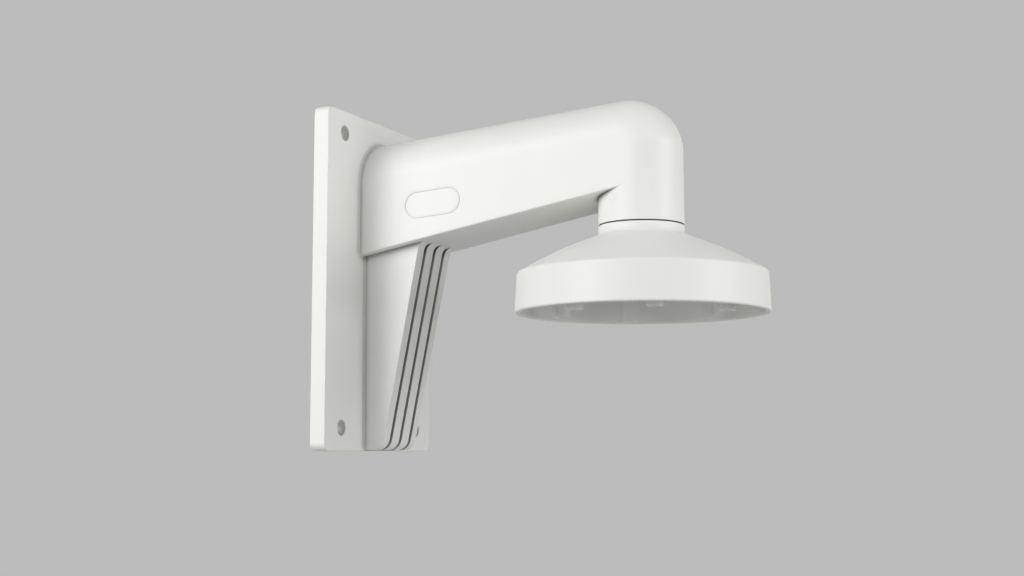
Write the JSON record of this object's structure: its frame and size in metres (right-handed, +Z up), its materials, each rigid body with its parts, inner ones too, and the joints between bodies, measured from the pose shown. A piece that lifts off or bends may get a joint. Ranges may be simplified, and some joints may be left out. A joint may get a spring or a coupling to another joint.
{
  "type": "camera wall bracket",
  "caption": "Hollow cast wall bracket for a dome camera: ribbed wall plate, grooved strut, arched arm bending down into a round neck, and a bell-shaped cap open below.",
  "frame": {"origin": "middle of the wall plate's wall face, which is the centre of the four wall holes", "axes": "+Z up the wall, +Y into the wall along the wall screws, so the bracket reaches out along -Y; X is across, and x = 0 is the plane of symmetry"},
  "size_m": [0.1312, 0.2288, 0.183],
  "materials": {
    "powder_coat": "warm white satin powder coat on die-cast aluminium",
    "seal_rubber": "matte black rubber",
    "screw_steel": "stainless steel"
  },
  "bodies": {
    "root": {"wall_bracket": "powder_coat", "camera_cap": "powder_coat", "neck_seal": "seal_rubber", "cap_screws": "screw_steel"}
  },
  "joints": []
}
